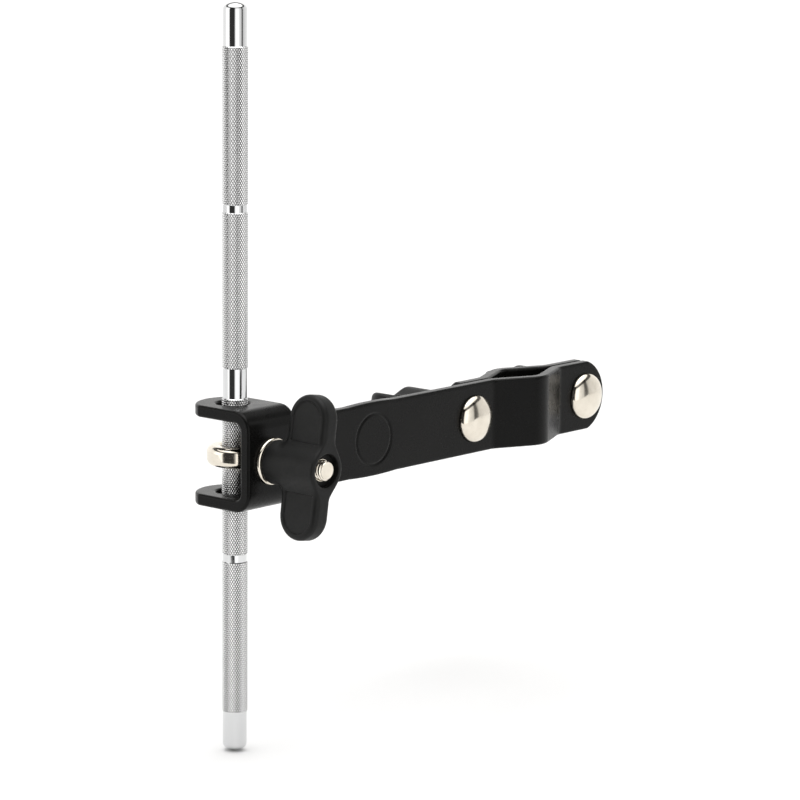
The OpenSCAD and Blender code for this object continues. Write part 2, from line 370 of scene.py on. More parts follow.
@dataclass
class MouldedShape:
    """A solid given by its distance field, skinned with quads."""

    shape: Shape
    low: Triple
    high: Triple
    step: float
    settle_rounds: int = 3

    def _field(self) -> tuple[Array, Array]:
        """Samples the field on a grid and returns it with the grid's counts."""
        low, high = np.array(self.low, float), np.array(self.high, float)
        counts = np.ceil((high - low) / self.step).astype(int) + 1
        x, y, z = (low[i] + self.step * np.arange(counts[i]) for i in range(3))
        values = self.shape(x[:, None, None], y[None, :, None], z[None, None, :])
        return np.broadcast_to(values, counts).copy(), counts

    def _settle(self, points: Array) -> Array:
        """Draws the points onto the exact surface along the field's slope."""
        reach = 0.02
        for _ in range(self.settle_rounds):
            value = self.shape(*points.T)
            slope = np.empty_like(points)
            for axis in range(3):
                nudge = np.zeros(3)
                nudge[axis] = reach
                ahead = self.shape(*(points + nudge).T)
                behind = self.shape(*(points - nudge).T)
                slope[:, axis] = (ahead - behind) / (2 * reach)
            size = np.maximum((slope**2).sum(axis=1), 0.05)
            pull = np.clip(value / size, -self.step / 2, self.step / 2)
            points = points - pull[:, None] * slope
        return points

    def stock(self) -> MeshStock:
        """Skins the solid: one point to each grid cell that the surface crosses.

        Returns:
            The closed skin in millimetres.
        """
        values, counts = self._field()
        inside = values < 0
        cells = counts - 1
        total = np.zeros(cells, np.int8)
        for i, j, k in CORNERS:
            total += inside[i : i + cells[0], j : j + cells[1], k : k + cells[2]]
        crossed_cells = (total > 0) & (total < 8)
        where = np.argwhere(crossed_cells)
        number = np.full(cells, -1, np.int64)
        number[crossed_cells] = np.arange(len(where))
        at_corner = np.stack([values[tuple((where + c).T)] for c in CORNERS], axis=1)
        summed, hits = np.zeros((len(where), 3)), np.zeros(len(where))
        for a, b in CELL_EDGES:
            start, end = at_corner[:, a], at_corner[:, b]
            crossed = (start < 0) != (end < 0)
            share = np.where(crossed, start / np.where(crossed, start - end, 1), 0)
            spot = CORNERS[a] + share[:, None] * (CORNERS[b] - CORNERS[a])
            summed += np.where(crossed[:, None], spot, 0)
            hits += crossed
        points = np.array(self.low) + self.step * (where + summed / hits[:, None])
        stock = MeshStock()
        stock.add(self._settle(points), self._quads(inside, number, counts))
        return stock

    @staticmethod
    def _quads(inside: Array, number: Array, counts: Array) -> Array:
        """Joins the four cells round each grid edge that the surface crosses."""
        quads = []
        unit = np.eye(3, dtype=int)
        for axis in range(3):
            across, over = (axis + 1) % 3, (axis + 2) % 3
            near = inside.take(range(counts[axis] - 1), axis)
            far = inside.take(range(1, counts[axis]), axis)
            for inner, outer, turn in ((near, far, 1), (far, near, -1)):
                edge = np.argwhere(inner & ~outer)
                keep = (edge[:, [across, over]] > 0).all(axis=1)
                edge = edge[keep]
                ring = [
                    number[tuple((edge - shift).T)]
                    for shift in (unit[across] + unit[over], unit[over], 0,
                                  unit[across])
                ]
                quads.append(np.stack(ring, axis=1)[:, ::turn])
        return np.concatenate(quads)


def meet_rounded(first: Array, second: Array, radius: float) -> Array:
    """Meets two crossing distance fields with a rounded edge.

    Args:
        first: Distance outside one boundary.
        second: Distance outside the other.
        radius: Radius of the edge between them.

    Returns:
        The distance field of the part that lies inside both.
    """
    a, b = first + radius, second + radius
    outside = np.hypot(np.maximum(a, 0), np.maximum(b, 0))
    return outside - radius + np.minimum(np.maximum(a, b), 0)


def join_filleted(first: Array, second: Array, fillet: float) -> Array:
    """Joins two distance fields with a fillet of about the given size."""
    share = np.clip(0.5 + 0.5 * (second - first) / fillet, 0, 1)
    return second + (first - second) * share - fillet * share * (1 - share)


def cut_eased(body: Array, cutter: Array, ease: float) -> Array:
    """Cuts one distance field out of another and eases the edge it leaves."""
    return -join_filleted(-body, cutter, ease)


def to_segment(x: Array, y: Array, start: Sequence[float],
               end: Sequence[float]) -> Array:
    """Distance in the plane from (x, y) to the straight piece from start to end."""
    along = (end[0] - start[0], end[1] - start[1])
    length = math.hypot(*along)
    share = ((x - start[0]) * along[0] + (y - start[1]) * along[1]) / length**2
    share = np.clip(share, 0, 1)
    return np.hypot(x - start[0] - share * along[0], y - start[1] - share * along[1])


def arc(centre: tuple[float, float], radius: float, from_deg: float, to_deg: float,
        steps: int) -> list[tuple[float, float]]:
    """Points along an arc of a lathe profile.

    Args:
        centre: (radius, height) of the arc's centre.
        radius: The arc's own radius.
        from_deg: Where it starts, counted from the outward direction.
        to_deg: Where it ends.
        steps: How many pieces it is cut into.

    Returns:
        The points, both ends included.
    """
    turns = np.radians(np.linspace(from_deg, to_deg, steps + 1))
    return [(centre[0] + radius * math.cos(t), centre[1] + radius * math.sin(t))
            for t in turns]


@dataclass
class Lathe:
    """Turns profiles of (radius, height) pairs about the Z axis."""

    sides: int = 96

    def _ring(self, radius: float, height: float) -> list[Triple]:
        """One ring of points, or a single point on the axis."""
        if radius == 0:
            return [(0.0, 0.0, height)]
        turns = [math.tau * i / self.sides for i in range(self.sides)]
        return [(radius * math.cos(t), radius * math.sin(t), height) for t in turns]

    def turn(self, profile: Sequence[tuple[float, float]], closed: bool) -> MeshStock:
        """Turns a profile that runs upward on its outside.

        Args:
            profile: (radius, height) pairs in millimetres.
            closed: Whether the profile is a loop clear of the axis, as a washer's is.

        Returns:
            The closed shell.
        """
        points: list[Triple] = []
        rings: list[list[int]] = []
        for radius, height in profile:
            ring = self._ring(radius, height)
            rings.append(list(range(len(points), len(points) + len(ring))))
            points.extend(ring)
        faces: list[tuple[int, ...]] = []
        pairs = list(zip(rings, rings[1:]))
        if closed:
            pairs.append((rings[-1], rings[0]))
        for lower, upper in pairs:
            for i in range(self.sides):
                j = (i + 1) % self.sides
                if len(lower) == 1:
                    faces.append((lower[0], upper[j], upper[i]))
                elif len(upper) == 1:
                    faces.append((lower[i], lower[j], upper[0]))
                else:
                    faces.append((lower[i], lower[j], upper[j], upper[i]))
        stock = MeshStock()
        stock.add(points, faces)
        return stock


@dataclass
class ScrewThread:
    """A rolled M8 thread along Z."""

    outer_r: float = 3.95
    depth: float = 0.6
    pitch: float = 1.25
    sides: int = 36
    rows_per_turn: int = 10
    end_chamfer: float = 0.9
    crest_share: float = 0.18
    slope_share: float = 0.6

    def _radius(self, phase: float) -> float:
        """Radius at a share of one pitch: flat crest, slopes, flat root."""
        wave = 2 * abs(phase % 1 - 0.5)
        down = min(max((wave - self.crest_share) / self.slope_share, 0), 1)
        return self.outer_r - self.depth * down

    def cut(self, start: float, end: float) -> MeshStock:
        """Threads a shank from one height to another.

        Args:
            start: Height of the lower end in millimetres.
            end: Height of the upper end.

        Returns:
            The closed shank.
        """
        rise = self.pitch / self.rows_per_turn
        rows = int(math.ceil((end - start) / rise)) + self.rows_per_turn + 1
        points: list[Triple] = []
        for row in range(rows):
            for side in range(self.sides):
                share = side / self.sides
                height = start + (row - self.rows_per_turn) * rise + share * self.pitch
                height = min(max(height, start), end)
                radius = self._radius((height - start) / self.pitch - share)
                tip = min(height - start, end - height)
                limit = self.outer_r - self.end_chamfer + tip
                radius = min(radius, limit)
                turn = math.tau * share
                points.append((radius * math.cos(turn), radius * math.sin(turn),
                               height))
        return self._close(points, rows)

    def _close(self, points: list[Triple], rows: int) -> MeshStock:
        """Joins the helical rows, shuts both ends and drops points that coincide."""
        faces: list[list[int]] = []
        for row in range(rows - 1):
            for side in range(self.sides):
                here = row * self.sides + side
                if side < self.sides - 1:
                    faces.append([here, here + 1, here + self.sides + 1,
                                  here + self.sides])
                elif row + self.rows_per_turn + 1 < rows:
                    ahead = (row + self.rows_per_turn) * self.sides
                    faces.append([here, ahead, ahead + self.sides, here + self.sides])
        keys: dict[Triple, int] = {}
        kept: list[Triple] = []
        renumbered: list[int] = []
        for point in points:
            key = tuple(round(value, 5) for value in point)
            if key not in keys:
                keys[key] = len(kept)
                kept.append(point)
            renumbered.append(keys[key])
        clean: list[tuple[int, ...]] = []
        for face in faces:
            loop = [renumbered[i] for i in face]
            loop = [v for i, v in enumerate(loop) if v != loop[i - 1]]
            if len(set(loop)) >= 3:
                clean.append(tuple(loop))
        lowest, highest = min(p[2] for p in kept), max(p[2] for p in kept)
        for height, turn in ((lowest, -1), (highest, 1)):
            rim = [i for i, p in enumerate(kept) if abs(p[2] - height) < 1e-6]
            rim.sort(key=lambda i: math.atan2(kept[i][1], kept[i][0]))
            clean.append(tuple(rim[::turn]))
        stock = MeshStock()
        stock.add(kept, clean)
        return stock


# ---------------------------------------------------------------- fitting pieces


@dataclass
class Fitter:
    """Puts finished pieces on their bodies and keeps the finishes."""

    materials: dict[Slot, bpy.types.Material] = field(default_factory=dict)

    def prepare(self) -> None:
        """Builds one material for each slot."""
        self.materials = {
            Slot.COAT: SatinCoat().material(),
            Slot.NYLON: MouldedNylon().material(),
            Slot.NICKEL: WarmNickel().material(),
            Slot.ROD: BrightChrome().material(),
        }

    def fit(self, stock: MeshStock, name: str, node: str, body: Body, slot: Slot,
            crease_deg: float = 30) -> bpy.types.Object:
        """Makes the object, rides it on its body and hides the node it stands for.

        Args:
            stock: The piece's mesh in millimetres, in place.
            name: The piece's name.
            node: The frame's node that it replaces.
            body: The body it rides on.
            slot: The slot its finish belongs to.
            crease_deg: Edges sharper than this stay crisp.

        Returns:
            The finished object.
        """
        piece = bpy.data.objects.new(name, stock.mesh(name, crease_deg))
        bpy.context.scene.collection.objects.link(piece)
        piece.data.materials.append(self.materials[slot])
        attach(piece, body.value)
        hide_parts(node)
        LOG.info("%s: %d faces on %s", name, len(piece.data.polygons), body.value)
        return piece


def span(node: str, axis: int) -> tuple[float, float]:
    """Lowest and highest place of a node along an axis, in millimetres."""
    low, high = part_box(node)
    return low[axis] / MM, high[axis] / MM


def middle(node: str, axis: int) -> float:
    """Middle of a node along an axis, in millimetres."""
    return sum(span(node, axis)) / 2


# ---------------------------------------------------------------- plates


@dataclass
class PlateForm:
    """Sizes that both bent plates share, and the fields that follow from them."""

    thickness: float = 4.8
    height: float = 30.0
    bend_r: float = 8.0
    vee_half: float = 22.0
    vee_slope_deg: float = 24.7
    end_arc_r: float = 16.0
    edge_r: float = 1.0
    grid_step: float = 0.5
    crease_deg: float = 50.0

    def plan(self, x: Array, y: Array) -> Array:
        """Distance outside the front plate's bent section, seen from above.

        Args:
            x: Places along the plate.
            y: Places across it, its rear face being at 0.

        Returns:
            The distance field in millimetres.
        """
        slope = math.radians(self.vee_slope_deg)
        sine, cosine, rise = math.sin(slope), math.cos(slope), math.tan(slope)
        half = self.thickness / 2
        mid_r = self.bend_r + half
        foot = (self.vee_half + self.bend_r * math.tan(slope / 2),
                -self.bend_r - self.thickness)
        apex = (-self.vee_half * rise - self.thickness
                + (self.thickness + self.bend_r) / cosine)
        reach = abs(x)
        slant_start = (mid_r * sine, apex - mid_r * cosine)
        slant_end = (foot[0] - mid_r * sine, foot[1] + mid_r * cosine)
        flat = to_segment(reach, y, (foot[0], -half), (10 * foot[0], -half))
        slant = to_segment(reach, y, slant_start, slant_end)
        out, up = reach - foot[0], y - foot[1]
        in_foot = (out <= 0) & (-out <= up * rise)
        foot_bend = np.where(in_foot, abs(np.hypot(out, up) - mid_r), np.inf)
        down = apex - y
        in_apex = (down > 0) & (reach <= down * rise)
        apex_bend = np.where(in_apex, abs(np.hypot(reach, down) - mid_r), np.inf)
        nearest = np.minimum(np.minimum(flat, slant), np.minimum(foot_bend, apex_bend))
        return nearest - half

    def outline_end(self, past: Array, z: Array) -> Array:
        """Distance outside a rounded plate end.

        Args:
            past: How far a place lies past the end arc's centre.
            z: Its height.

        Returns:
            The distance outside the end, its straight edges left to the caller.
        """
        return np.where(past > 0, np.hypot(past, z) - self.end_arc_r, -self.end_arc_r)


def fit_plate(fitter: Fitter, form: PlateForm, shape: Shape, name: str, node: str,
              body: Body) -> None:
    """Skins a plate inside its node's box and fits it.

    Args:
        fitter: Who fits it.
        form: The sizes that give the grid's step.
        shape: The plate's distance field.
        name: The piece's name.
        node: The frame's node that it replaces.
        body: The body it rides on.
    """
    low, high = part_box(node)
    margin = Vector((1, 1, 1))
    solid = MouldedShape(shape, tuple(low / MM - margin), tuple(high / MM + margin),
                         form.grid_step)
    fitter.fit(solid.stock(), name, node, body, Slot.COAT, form.crease_deg)


@dataclass
class FormedArm:
    """The bent arm with the U bracket at its far end."""

    form: PlateForm
    rod_x: float
    rod_y: float
    stud_z: float
    bolt_xs: tuple[float, float]
    bracket_w: float = 27.7
    bracket_h: float = 41.0
    bracket_bend_r: float = 8.0
    flange_arc_r: float = 15.0
    flange_reach: float = 16.4
    rod_hole_r: float = 6.8
    rod_hole_lead: float = 1.2
    relief_r: float = 1.8
    shank_clear_r: float = 4.45
    square_half: float = 4.2
    emblem_reach: float = 60.9
    emblem_r: float = 10.6
    emblem_half_w: float = 0.5
    emblem_depth: float = 0.35
    swell: float = 0.5
    swell_half: float = 14.1

    def _bar(self, x: Array, y: Array, z: Array) -> Array:
        """Field of the bar from the bracket to its rounded free end."""
        off_emblem = (x - self.rod_x - self.emblem_reach) / self.swell_half
        bulge = self.swell * np.clip(1 - off_emblem**2, 0, 1)
        tip = span("front_arm", 0)[1]
        end = self.form.outline_end(x - tip + self.form.end_arc_r, z)
        outline = np.maximum(abs(z) - self.form.height / 2 - bulge, end)
        start = self.rod_x + self.bracket_w / 2 - 2 * self.form.edge_r
        outline = np.maximum(outline, start - x)
        return meet_rounded(self.form.plan(x, y), outline, self.form.edge_r)

    def _bracket(self, x: Array, y: Array, z: Array) -> Array:
        """Field of the U bracket with its two rod holes."""
        half = self.form.thickness / 2
        mid_r = self.bracket_bend_r - half
        bend_y = -self.form.thickness + self.bracket_bend_r
        bend_z = self.bracket_h / 2 - self.bracket_bend_r
        back, up = y - bend_y, abs(z) - bend_z
        web = np.where(up <= 0, abs(back + mid_r), np.inf)
        flange = np.where(back >= 0, abs(up - mid_r), np.inf)
        in_corner = (back < 0) & (up > 0)
        corner = np.where(in_corner, abs(np.hypot(back, up) - mid_r), np.inf)
        slab = np.minimum(np.minimum(web, flange), corner) - half
        aside = x - self.rod_x
        arc_y = self.rod_y + self.flange_reach - self.flange_arc_r
        past_arc = np.hypot(aside, y - arc_y) - self.flange_arc_r
        end = np.where(y > arc_y, past_arc, -np.inf)
        outline = np.maximum(abs(aside) - self.bracket_w / 2, end)
        to_hole = np.hypot(aside, y - self.rod_y - self.rod_hole_lead)
        outline = np.maximum(outline, self.rod_hole_r - to_hole)
        return meet_rounded(slab, outline, self.form.edge_r)

    def _emblem(self, x: Array, y: Array, z: Array) -> Array:
        """Field of the plain ring pressed into the front face."""
        half_w, depth = self.emblem_half_w, self.emblem_depth
        tool_r = (half_w**2 + depth**2) / (2 * depth)
        to_ring = np.hypot(x - self.rod_x - self.emblem_reach, z) - self.emblem_r
        lift = y + self.form.thickness + tool_r - depth
        return np.hypot(to_ring, lift) - tool_r

    def shape(self, x: Array, y: Array, z: Array) -> Array:
        """Field of the whole arm."""
        solid = np.minimum(self._bar(x, y, z), self._bracket(x, y, z))
        relief_x = self.rod_x + self.bracket_w / 2 + self.relief_r
        relief = np.hypot(x - relief_x, abs(z) - self.form.height / 2) - self.relief_r
        relief = np.maximum(relief, y - 1)
        solid = cut_eased(solid, relief, self.form.edge_r / 2)
        stud = np.hypot(x - self.rod_x, z - self.stud_z) - self.shank_clear_r
        solid = np.maximum(solid, -np.maximum(stud, y - 1))
        for bolt_x in self.bolt_xs:
            hole = np.maximum(abs(x - bolt_x), abs(z)) - self.square_half
            solid = np.maximum(solid, -hole)
        return np.maximum(solid, -self._emblem(x, y, z))

    def build(self, fitter: Fitter) -> None:
        """Skins the arm and fits it."""
        fit_plate(fitter, self.form, self.shape, "formed_arm", "front_arm", Body.ARM)


@dataclass
class LooseJaw:
    """The short bent plate that closes the V from behind."""

    form: PlateForm
    bolt_xs: tuple[float, float]
    shank_clear_r: float = 4.45

    def shape(self, x: Array, y: Array, z: Array) -> Array:
        """Field of the jaw."""
        left, right = span("rear_jaw", 0)
        arc_r = self.form.end_arc_r
        outline = np.maximum(abs(z) - self.form.height / 2,
                             self.form.outline_end(x - right + arc_r, z))
        outline = np.maximum(outline, self.form.outline_end(left + arc_r - x, z))
        for bolt_x in self.bolt_xs:
            to_hole = np.hypot(x - bolt_x, z)
            outline = np.maximum(outline, self.shank_clear_r - to_hole)
        return meet_rounded(self.form.plan(x, -y), outline, self.form.edge_r)

    def build(self, fitter: Fitter) -> None:
        """Skins the jaw and fits it."""
        fit_plate(fitter, self.form, self.shape, "loose_jaw", "rear_jaw", Body.JAW)


# ---------------------------------------------------------------- rod


@dataclass
class KnurledRod:
    """The accessory rod: smooth ends, waist and grooves between knurled stretches."""

    x: float
    y: float
    bottom: float
    top: float
    knurl_r: float = 5.3
    smooth_r: float = 4.9
    knurl_depth: float = 0.22
    flank_share: float = 0.3
    starts: int = 32
    pitch: float = 1.76
    tip_len: float = 17.5
    foot_len: float = 16.6
    waist_len: float = 12.1
    waist_drop: float = 152.7
    groove_w: float = 3.0
    groove_drops: tuple[float, float] = (82.1, 224.4)
    end_curve: tuple[tuple[float, float], ...] = (
        (4.9, 3.0), (4.77, 2.3), (4.42, 1.65), (3.85, 1.12), (3.05, 0.66), (2.0, 0.28),
        (0.9, 0.06),
    )
    shoulder: float = 0.25

    def _stretches(self) -> list[tuple[float, float]]:
        """Lowest and highest place of each knurled stretch, from the bottom up."""
        half_groove, half_waist = self.groove_w / 2, self.waist_len / 2
        upper, lower = self.groove_drops
        drops = [
            (self.top - self.bottom - self.foot_len, lower + half_groove),
            (lower - half_groove, self.waist_drop + half_waist),
            (self.waist_drop - half_waist, upper + half_groove),
            (upper - half_groove, self.tip_len),
        ]
        return [(self.top - low, self.top - high) for low, high in drops]

    def _knurl_radius(self, column: int, row: int) -> float:
        """Radius at a point of the knurl: diagonal grooves and blunt crests."""
        if (column + row) % 4 == 0 or (column - row) % 4 == 0:
            return self.knurl_r - self.knurl_depth
        on_crest = (column + row) % 2 == 0
        return self.knurl_r - (0 if on_crest else self.flank_share * self.knurl_depth)

    def stock(self) -> MeshStock:
        """Builds the rod as rings of points, knurled where it is knurled.

        Returns:
            The closed rod in millimetres, its knurled faces flagged as faceted.
        """
        rings: list[tuple[float, float, int]] = []
        plain, rise = -1, self.pitch / 4
        for radius, away in self.end_curve[::-1]:
            rings.append((self.bottom + away, radius, plain))
        for low, high in self._stretches():
            rings.append((low, self.smooth_r, plain))
            start, end = low + self.shoulder, high - self.shoulder
            rows = round((end - start) / rise)
            for row in range(rows + 1):
                rings.append((start + (end - start) * row / rows, self.knurl_r, row))
            rings.append((high, self.smooth_r, plain))
        for radius, away in self.end_curve:
            rings.append((self.top - away, radius, plain))
        return self._joined(rings, 4 * self.starts)

    def _joined(self, rings: list[tuple[float, float, int]], columns: int) -> MeshStock:
        """Joins the rings and creases the knurl along its grooves and crests.

        Args:
            rings: Height, radius and knurl row of each ring, the row being -1 if plain.
            columns: Points to a ring.

        Returns:
            The closed rod.
        """
        stock = MeshStock()
        points: list[Triple] = []
        faces: list[tuple[int, ...]] = []
        groove_r = self.knurl_r - self.knurl_depth
        for height, radius, knurl_row in rings:
            for column in range(columns):
                turn = math.tau * column / columns
                if knurl_row >= 0:
                    radius = self._knurl_radius(column, knurl_row)
                points.append((self.x + radius * math.cos(turn),
                               self.y + radius * math.sin(turn), height))
        for level, (lower, upper) in enumerate(zip(rings, rings[1:])):
            row = lower[2]
            knurled = row >= 0 and upper[2] >= 0
            for column in range(columns):
                ahead = (column + 1) % columns
                a, b = level * columns + column, level * columns + ahead
                c, d = b + columns, a + columns
                if not knurled:
                    faces.append((a, b, c, d))
                    continue
                stock.faceted.update((len(faces), len(faces) + 1))
                even_here = (column + row) % 2 == 0
                spots = [(column, row), (column + 1, row + 1)]
                if not even_here:
                    spots = [(column + 1, row), (column, row + 1)]
                in_groove = all(self._knurl_radius(*spot) == groove_r
                                for spot in spots)
                if in_groove == even_here:
                    faces.extend([(a, b, c), (a, c, d)])
                else:
                    faces.extend([(a, b, d), (b, c, d)])
        last = (len(rings) - 1) * columns
        faces.append(tuple(range(columns))[::-1])
        faces.append(tuple(range(last, last + columns)))
        stock.add(points, faces)
        return stock

    def build(self, fitter: Fitter) -> None:
        """Fits the rod and gives its knurling a finish of its own, with painted shade in
        its valleys and a painted highlight on its crests.
        """
        stock = self.stock()
        rod = fitter.fit(stock, "knurled_rod", "mounting_rod", Body.ROD, Slot.ROD, 35)
        valley_r = self.knurl_r - self.knurl_depth
        # The knurling's finish carries painted shade in the valleys and a painted
        # highlight on the crests.
        finish = KnurledChrome(self.x * MM, self.y * MM, valley_r * MM,
                               self.knurl_r * MM)
        rod.data.materials.append(finish.material())
        marks = np.zeros(len(rod.data.polygons), dtype=np.int32)
        marks[sorted(stock.faceted)] = 1
        rod.data.polygons.foreach_set("material_index", marks)


# ---------------------------------------------------------------- fasteners


def facing_front(x: float, y: float, z: float, turn_deg: float = 0) -> Matrix:
    """Placement that stands local +Z toward the front, -Y."""
    return (Matrix.Translation((x, y, z)) @ Matrix.Rotation(math.pi / 2, 4, "X")
            @ Matrix.Rotation(math.radians(turn_deg), 4, "Z"))


def facing_back(x: float, y: float, z: float, turn_deg: float = 0) -> Matrix:
    """Placement that stands local +Z toward the back, +Y."""
    return (Matrix.Translation((x, y, z)) @ Matrix.Rotation(-math.pi / 2, 4, "X")
            @ Matrix.Rotation(math.radians(turn_deg), 4, "Z"))


@dataclass
class EyeBolt:
    """The bolt whose eye goes round the rod and whose stud takes the front nut."""

    x: float
    z: float
    stud_end_y: float
    eye_y: float
    outer_r: float = 11.75
    bore_r: float = 6.0
    depth: float = 8.2
    edge_r: float = 2.7
    bore_edge_r: float = 1.3
    neck_flare: float = 1.4

    def _eye(self) -> MeshStock:
        """The eye: a thick ring with rounded edges, standing about Z."""
        half = self.depth / 2 - self.edge_r
        bore_half = self.depth / 2 - self.bore_edge_r
        outer, inner = self.outer_r - self.edge_r, self.bore_r + self.bore_edge_r
        profile = (arc((outer, -half), self.edge_r, -90, 0, 12)
                   + arc((outer, half), self.edge_r, 0, 90, 12)
                   + arc((inner, bore_half), self.bore_edge_r, 90, 180, 8)
                   + arc((inner, -bore_half), self.bore_edge_r, 180, 270, 8))
        ring = Lathe(128).turn(profile, closed=True)
        return ring.moved(Matrix.Translation((self.x, self.eye_y, self.z)))

    def _stud(self) -> MeshStock:
        """The threaded stud and the short plain neck that grows from the eye."""
        thread = ScrewThread(end_chamfer=0.35)
        start = self.outer_r - (self.outer_r - self.bore_r) / 2
        length = self.eye_y - self.stud_end_y
        neck_end = self.eye_y + 0.5
        thread_r = thread.outer_r
        flare_top = self.outer_r + self.neck_flare
        neck = [(0.0, start), (thread_r + self.neck_flare, start)]
        neck += [(thread_r + self.neck_flare - a, b) for a, b in (
            (0.0, self.outer_r - 0.6), (0.6, self.outer_r + 0.1),
            (1.1, self.outer_r + 0.7), (self.neck_flare, flare_top))]
        neck += [(thread_r, neck_end), (0.0, neck_end)]
        stock = Lathe(48).turn(neck, closed=False)
        shank = thread.cut(neck_end - 0.8, length)
        stock.add(shank.points, shank.faces)
        return stock.moved(facing_front(self.x, self.eye_y, self.z))

    def build(self, fitter: Fitter) -> None:
        """Fits the eyebolt."""
        stock = self._eye()
        stud = self._stud()
        stock.add(stud.points, stud.faces)
        fitter.fit(stock, "eye_and_stud", "eye_bolt", Body.EYE, Slot.NICKEL, 40)


@dataclass
class PlainWasher:
    """A flat washer, stamped so that its outer face is well rounded at the rim."""

    outer_r: float = 9.6
    bore_r: float = 4.45
    thickness: float = 1.6
    edge_r: float = 0.3
    rim_r: float = 1.1

    def stock(self) -> MeshStock:
        """The washer standing on Z = 0."""
        inner, outer = self.bore_r + self.edge_r, self.outer_r - self.edge_r
        low, high = self.edge_r, self.thickness - self.edge_r
        rim = (self.outer_r - self.rim_r, self.thickness - self.rim_r)
        profile = (arc((outer, low), self.edge_r, -90, 0, 4)
                   + arc(rim, self.rim_r, 0, 90, 8)
                   + arc((inner, high), self.edge_r, 90, 180, 4)
                   + arc((inner, low), self.edge_r, 180, 270, 4))
        return Lathe(96).turn(profile, closed=True)

    def build(self, fitter: Fitter, node: str, body: Body) -> None:
        """Fits a washer where the frame has one, its rounded face outward."""
        near, far = span(node, 1)
        x, z = middle(node, 0), middle(node, 2)
        place = facing_front(x, far, z) if near < 0 else facing_back(x, near, z)
        fitter.fit(self.stock().moved(place), f"plain_{node}", node, body, Slot.NICKEL)


@dataclass
class CarriageBolt:
    """A domed bolt with a square neck and a rolled thread."""

    dome_r: float = 10.1
    dome_h: float = 4.9
    rim_ease: float = 0.3
    fullness: float = 1.08
    square_w: float = 8.2
    plate_t: float = 4.8

    def _dome(self) -> MeshStock:
        """The head, standing on Z = 0."""
        steps = 30
        profile = [(0.0, 0.0), (self.dome_r - self.rim_ease, 0.0)]
        for i in range(steps):
            turn = math.pi / 2 * i / steps
            crown = (self.dome_h - self.rim_ease) * math.sin(turn)
            profile.append((self.dome_r * math.cos(turn) ** self.fullness,
                            self.rim_ease + crown))
        return Lathe(128).turn(profile + [(0.0, self.dome_h)], closed=False)

    def _neck(self) -> MeshStock:
        """The square neck, reaching down from Z = 0 into the plate."""
        half, deep, foot = self.square_w / 2, -self.plate_t, 0.6
        square = [(-1, -1), (1, -1), (1, 1), (-1, 1)]
        levels = [(half - foot, deep), (half, deep + foot), (half, 0.4)]
        points = [(i * w, j * w, h) for w, h in levels for i, j in square]
        faces: list[tuple[int, ...]] = [(3, 2, 1, 0), (8, 9, 10, 11)]
        for level in range(2):
            for i in range(4):
                j = (i + 1) % 4
                faces.append((4 * level + i, 4 * level + j,
                              4 * level + 4 + j, 4 * level + 4 + i))
        stock = MeshStock()
        stock.add(points, faces)
        return stock

    def build(self, fitter: Fitter, node: str, x: float) -> None:
        """Fits a bolt where the frame has one."""
        stock = self._dome()
        neck = self._neck()
        stock.add(neck.points, neck.faces)
        stock = stock.moved(facing_front(x, -self.plate_t, 0))
        shank = ScrewThread().cut(0, span(node, 1)[1] + 0.5)
        shank = shank.moved(facing_back(x, -0.5, 0))
        stock.add(shank.points, shank.faces)
        fitter.fit(stock, f"domed_{node}", node, Body.ARM, Slot.NICKEL)


